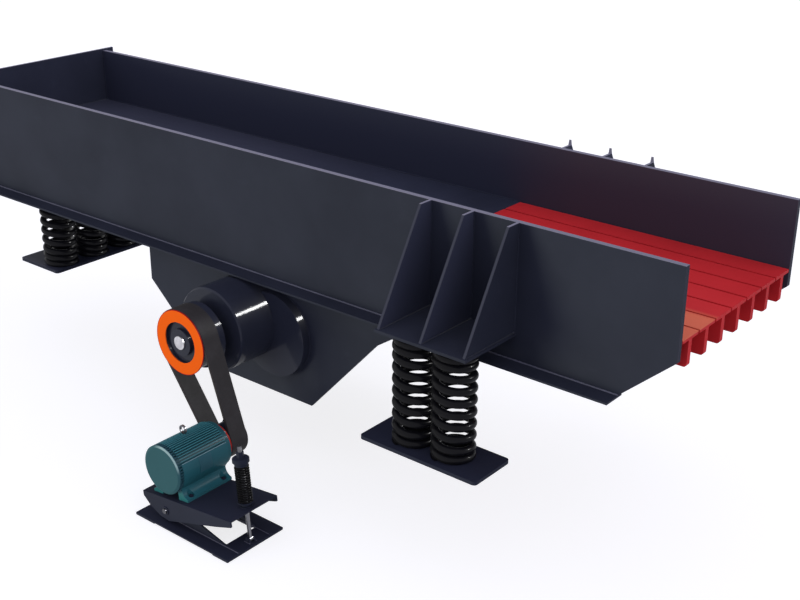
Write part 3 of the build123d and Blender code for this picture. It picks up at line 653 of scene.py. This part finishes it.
# Thin wire with one closed turn at each end
def tension_coil():
    made = bmesh.new()
    low = rod_at(spring_foot_z)
    high = rod_at(spring_head_z)
    radius, thin_wire, end_gap = 0.032, 0.005, 0.0047
    closed_pitch, open_turns = 0.010, 13
    turns = open_turns + 2
    rise = (high - low).length - 2 * end_gap
    open_rise = rise - 2 * closed_pitch

    def closed_height(turn):
        return closed_pitch * max(0.0, 2 * turn - 1)

    def height(turn):
        if turn < 1:
            return closed_height(turn)
        if turn < turns - 1:
            return closed_pitch + open_rise * (turn - 1) / open_turns
        return rise - closed_height(turns - turn)

    route = coil_route(radius, height, turns, start=0, steps=28, ease=0.045)
    turned = rod_line.to_track_quat("Z", "Y")
    foot = low + rod_line * end_gap
    add_wire(made, [foot + turned @ point for point in route], thin_wire, sides=10)
    coil = finish_piece("tension_coil", made, "tension_spring_paint")
    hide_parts("tension_spring")
    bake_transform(coil)


def rod_thread():
    made = bmesh.new()
    start, end = rod_at(thread_foot_z), rod_at(thread_head_z)
    root_radius, thread_depth = 0.01006, 0.0011
    pitch, sides, per_turn = 0.004, 16, 6
    side = rod_line.orthogonal().normalized()
    up = rod_line.cross(side)
    rings = []
    for step in range(int((end - start).length / pitch * per_turn) + 1):
        height = step * pitch / per_turn
        ring = []
        for corner in range(sides):
            phase = (height / pitch + corner / sides) % 1
            radius = root_radius + thread_depth * (1 - abs(2 * phase - 1))
            turn = 2 * math.pi * corner / sides
            ring.append(made.verts.new(around(start + rod_line * height, side, up, radius, turn)))
        rings.append(ring)
    add_skin(made, rings)
    finish_piece("rod_thread", made, "bare_steel", "base", sharp=180)


tension_coil()
rod_thread()


# Belt in two halves that meet about half-way down its runs, each bending with its own pulley
def belt_half(name, upper):
    made = bmesh.new()
    reach = motor_axis - drive_axis
    distance = reach.length
    down = reach / distance
    across = Vector((-down.z, 0, down.x))
    big, small, thick, bevel = 0.177, 0.099, 0.017, 0.0016
    lean = math.acos((big - small) / distance)
    front, back = -1.0347, -0.9267
    middle, run_steps = 0.29, 14
    if upper:
        centre, radius, turns = drive_axis, big, 84
        first, last = lean, 2 * math.pi - lean
    else:
        centre, radius, turns = motor_axis, small, 44
        first, last = -lean, lean
    angles = [first + (last - first) * step / turns for step in range(turns + 1)]
    arc = [(around(centre, down, across, radius, angle), angle) for angle in angles]

    def run_to_middle(point, angle):
        run_along = down * math.sin(angle) - across * math.cos(angle)
        if (run_along.dot(down) < 0) == upper:
            run_along = -run_along
        length = (middle - (point - drive_axis).dot(down)) / run_along.dot(down)
        return [
            (point + run_along * (length * (step + 1) / run_steps), angle)
            for step in range(run_steps)
        ]

    route = list(reversed(run_to_middle(*arc[0]))) + arc + run_to_middle(*arc[-1])
    section = [
        (0, front + bevel), (0, back - bevel), (bevel, back), (thick - bevel, back),
        (thick, back - bevel), (thick, front + bevel), (thick - bevel, front), (bevel, front),
    ]
    rings = []
    for point, angle in route:
        outward = down * math.cos(angle) + across * math.sin(angle)
        rings.append([
            made.verts.new(point - outward * depth + Vector((0, y, 0))) for depth, y in section
        ])
    add_skin(made, rings)
    half = finish_piece(name, made, "belt_rubber")
    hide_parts("drive_belt")
    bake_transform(half)


belt_half("belt_upper_half", True)
belt_half("belt_lower_half", False)


# Welds of the trough: flanges, end plate, pan, brackets and exciter plates
def trough_welds():
    inset, short, below_top = 0.0025, 0.004, wall_top - 0.004
    bright, lines = [], []
    for side in (-1, 1):
        outer, inner = side * (wall_outer + inset), side * (wall_inner - inset)
        bright.append(level_line(trough_rear + short, lip_x, outer, wall_bottom))
        lines.append(upright_line(trough_rear, outer, wall_bottom + 0.01, below_top))
        lines.append(level_line(trough_rear + short, pan_end - 0.01, inner, deck))
        lines.append(upright_line(trough_rear + inset, inner, deck, below_top))
    rear_x = trough_rear + inset
    lines.append(((rear_x, -wall_inner, deck), (rear_x, wall_inner, deck)))
    # The beads along the walls' feet are real welds, coloured light grey as a painted highlight
    # along that junction
    welds("flange_welds", bright, "trough")
    welds("trough_welds", lines, "trough", finish="trough_paint")

    brackets = []
    foot_z = spring_seat_top + weld_offset
    for side in (-1, 1):
        wall_y = side * (wall_outer + weld_offset)
        foot_y = side * (gusset_foot - short)
        for x in gusset_xs:
            for face in (-1, 1):
                edge_x = x + face * (gusset_half + weld_offset)
                brackets.append(upright_line(edge_x, wall_y, spring_seat_top, below_top))
                brackets.append(((edge_x, wall_y, foot_z), (edge_x, foot_y, foot_z)))
        for z in (spring_seat_top - 0.0145, spring_seat_top + 0.0005):
            brackets.append(level_line(*spring_seat_ends, wall_y, z))
    welds("bracket_welds", brackets, "trough", 0.0035, "trough_paint")

    plate_ends, plate_weld_z = (1.055, 2.982), 0.4311
    hanging = [
        level_line(*plate_ends, side * (wall_outer + weld_offset), plate_weld_z)
        for side in (-1, 1)
    ]
    welds("exciter_plate_welds", hanging, "trough", 0.004)


trough_welds()


# Welds round the drive shaft's housing and the geared shaft's cover
def round_weld(made, axis, radius, first, last, width=0.004, bead_step=0.008):
    first, last = math.radians(first), math.radians(last)
    centre = Vector((axis.x, -wall_outer - weld_offset, axis.z))
    count = max(8, int(abs(last - first) * radius / bead_step))
    route = [
        around(centre, toward_lip, upward, radius, first + (last - first) * step / count)
        for step in range(count + 1)
    ]
    add_wire(made, route, lambda step: width * (1 + 0.15 * math.sin(2.3 * step)))


def housing_welds():
    made = bmesh.new()
    housing_foot, cover_foot = 0.229, 0.235
    round_weld(made, drive_axis, housing_foot, -30, -315)
    round_weld(made, geared_axis, cover_foot, -112, 93)
    finish_piece("housing_welds", made, "trough_paint", "trough", sharp=60)


housing_welds()


# Welds of the motor's seat, and of the ears and the rod's lug on the motor base
def seat_welds():
    cheek_start, cheek_end, plate_weld_w = -0.18, 0.449, -0.165
    cheek_insides = (-1.399 + weld_offset, -1.105 - weld_offset)
    lines = [
        (seat_point(cheek_start, y, plate_weld_w), seat_point(cheek_end, y, plate_weld_w))
        for y in cheek_insides
    ]
    welds("seat_welds", lines, "motor_seat", 0.003, "base_paint")


def base_welds():
    base_surface = -0.592
    ear_foot, ear_end, ear_inner_end = 2.04, 2.55, 2.44
    outer_faces, inner_faces = (-1.3622, -1.1518), (-1.3508, -1.1632)
    lug_ends, lug_middle, lug_half = (2.497, 2.539), -1.252, 0.0205
    lug_faces = (lug_middle - lug_half, lug_middle + lug_half)
    lines = [level_line(ear_foot, ear_end, y, base_surface) for y in outer_faces]
    lines += [level_line(ear_foot, ear_inner_end, y, base_surface) for y in inner_faces]
    lines += [level_line(*lug_ends, y, base_surface) for y in lug_faces]
    welds("base_welds", lines, "base", 0.0028, "weld_grey")


seat_welds()
base_welds()


# Bolts: far cover, motor feet and end shield
def on_circle(centre, side, up, radius, angles):
    return [around(centre, side, up, radius, math.radians(angle)) for angle in angles]


def on_far_cover(axis, angles):
    face_y, bolt_circle = 0.595, 0.112
    return on_circle(Vector((axis.x, face_y, axis.z)), toward_lip, upward, bolt_circle, angles)


shield_face_y, shield_bolt_circle = -1.060, 0.107
foot_bolt_us, foot_bolt_ys, foot_top_w = (-0.108, 0.108), (-1.344, -1.128), -0.144
bolts(
    "far_cover_bolts",
    on_far_cover(drive_axis, range(60, 331, 45)) + on_far_cover(geared_axis, range(-120, 151, 45)),
    toward_far_side, 0.012, "trough",
)
bolts(
    "end_shield_bolts",
    on_circle(
        seat_point(0, shield_face_y, 0), along, square, shield_bolt_circle, range(45, 316, 90)
    ),
    toward_far_side, 0.008, "motor_seat",
)
bolts(
    "motor_foot_bolts",
    [seat_point(u, y, foot_top_w) for u in foot_bolt_us for y in foot_bolt_ys],
    square, 0.0095, "motor_seat", finish="base_paint",
)


# Motor trim: blank side panel, and light strips along the ledges as a painted highlight
def side_panel():
    made = bmesh.new()
    radius, thickness, half_turn = 0.1290, 0.0012, math.radians(18)
    near_end, length = -1.278, 0.080
    rows, columns = 9, 5
    places = [near_end + length * column / columns for column in range(columns + 1)]
    rings = []
    for row in range(rows + 1):
        turn = half_turn * (2 * row / rows - 1)
        under = [around(seat_point(0, y, 0), along, square, radius, turn) for y in places]
        lift = along * (thickness * math.cos(turn)) + square * (thickness * math.sin(turn))
        rings.append([
            made.verts.new(place) for place in under + [place + lift for place in reversed(under)]
        ])
    add_skin(made, rings)
    finish_piece("motor_side_panel", made, "panel_teal", "motor_seat", sharp=30)


# A light strip along each ledge of the motor, as a painted highlight
def ledge_highlights():
    made = bmesh.new()
    reach, level, edge_radius = 0.1203, 0.0458, 0.0016
    near_end, length, steps = -1.380, 0.288, 12
    for side in (-1, 1):
        route = [
            seat_point(side * reach, near_end + length * step / steps, level)
            for step in range(steps + 1)
        ]
        add_wire(made, route, edge_radius)
    finish_piece("motor_ledge_highlights", made, "edge_teal_highlight", "motor_seat", sharp=60)


side_panel()
ledge_highlights()


# Red flange that closes the gap between the motor pulley's ring and the end shield
def motor_pulley_flange():
    made = bmesh.new()
    bore, flange_radius, thickness, back_y = 0.062, 0.0960, 0.0098, -1.0400
    profile = [
        (bore, 0), (flange_radius - 0.0015, 0), (flange_radius, 0.0015), (flange_radius, 0.0080),
        (flange_radius - 0.0060, thickness), (bore, thickness), (bore, 0),
    ]
    add_turned(made, profile, motor_axis + Vector((0, back_y, 0)), toward_viewer, 64)
    finish_piece("motor_pulley_flange", made, "ring_red", "motor_rotor")


motor_pulley_flange()


# Collars on the seat's pivot pin
def pin_collars():
    made = bmesh.new()
    bore, rim, thickness = 0.0142, 0.0235, 0.0050
    pin_u, pin_w, near_y, far_y = -0.025, -0.229, -1.4092, -1.0948
    profile = [
        (bore, 0), (rim, 0), (rim, thickness - 0.0015), (rim - 0.0015, thickness),
        (bore, thickness), (bore, 0),
    ]
    for y, direction in ((near_y, toward_viewer), (far_y, toward_far_side)):
        add_turned(made, profile, seat_point(pin_u, y, pin_w), direction, 28)
    finish_piece("pivot_pin_collars", made, "base_paint", "base")


pin_collars()


# White floor and backdrop, a bluish sky that lights but isn't seen, and three lamps
def add_floor():
    half_width, level = 40, -0.607
    corners = [
        (x * half_width, y * half_width, level) for x, y in ((-1, -1), (1, -1), (1, 1), (-1, 1))
    ]
    mesh = bpy.data.meshes.new("floor")
    mesh.from_pydata(corners, [], [(0, 1, 2, 3)])
    floor = bpy.data.objects.new("floor", mesh)
    bpy.context.scene.collection.objects.link(floor)
    white = Finish("floor white", Specular_IOR_Level=0.0, Emission_Strength=0.76)
    white.drive("Base Color", (0.45, 0.45, 0.45, 1.0))
    white.drive("Roughness", 0.9)
    shown = white.blend(white.seen_or_mirrored(), (0, 0, 0, 1), (1, 1, 1, 1))
    white.drive("Emission Color", shown)
    mesh.materials.append(white.material)
    floor.visible_shadow = False


def add_sky():
    world = bpy.data.worlds.new("studio")
    world.use_nodes = True
    bpy.context.scene.world = world
    studio = NodeTree(world.node_tree)
    sky = studio.tree.nodes["Background"]
    studio.join(sky.inputs["Color"], (0.80, 0.80, 1, 1))
    studio.join(sky.inputs["Strength"], 0.72)
    backdrop = studio.node("ShaderNodeBackground", None, {"Color": (1, 1, 1, 1), "Strength": 1.0})
    either = studio.node("ShaderNodeMixShader", None, {
        0: studio.seen_or_mirrored(), 1: Level(studio, sky.outputs[0]), 2: backdrop,
    })
    studio.join(studio.tree.nodes["World Output"].inputs["Surface"], either)


def add_lamp(name, energy, direction, mirrored=False, **settings):
    data = bpy.data.lights.new(name, "SUN")
    data.energy = energy
    for key, value in settings.items():
        setattr(data, key, value)
    lamp = bpy.data.objects.new(name, data)
    bpy.context.scene.collection.objects.link(lamp)
    lamp.rotation_euler = Vector(direction).to_track_quat("Z", "Y").to_euler()
    lamp.visible_diffuse = not mirrored
    lamp.visible_glossy = mirrored


add_floor()
add_sky()
add_lamp("key", 2.1, (-0.80, -1.0, -0.12), angle=0.45, color=(1.0, 0.98, 0.70))
add_lamp("fill", 0.45, (0.75, 0.0, 0.66), angle=0.8, color=(0.80, 0.80, 1.0), use_shadow=False)
add_lamp("glint", 3.6, (0.60, 0.645, 0.48), mirrored=True, angle=0.10, use_shadow=False)
bpy.context.scene.view_settings.view_transform = "Standard"
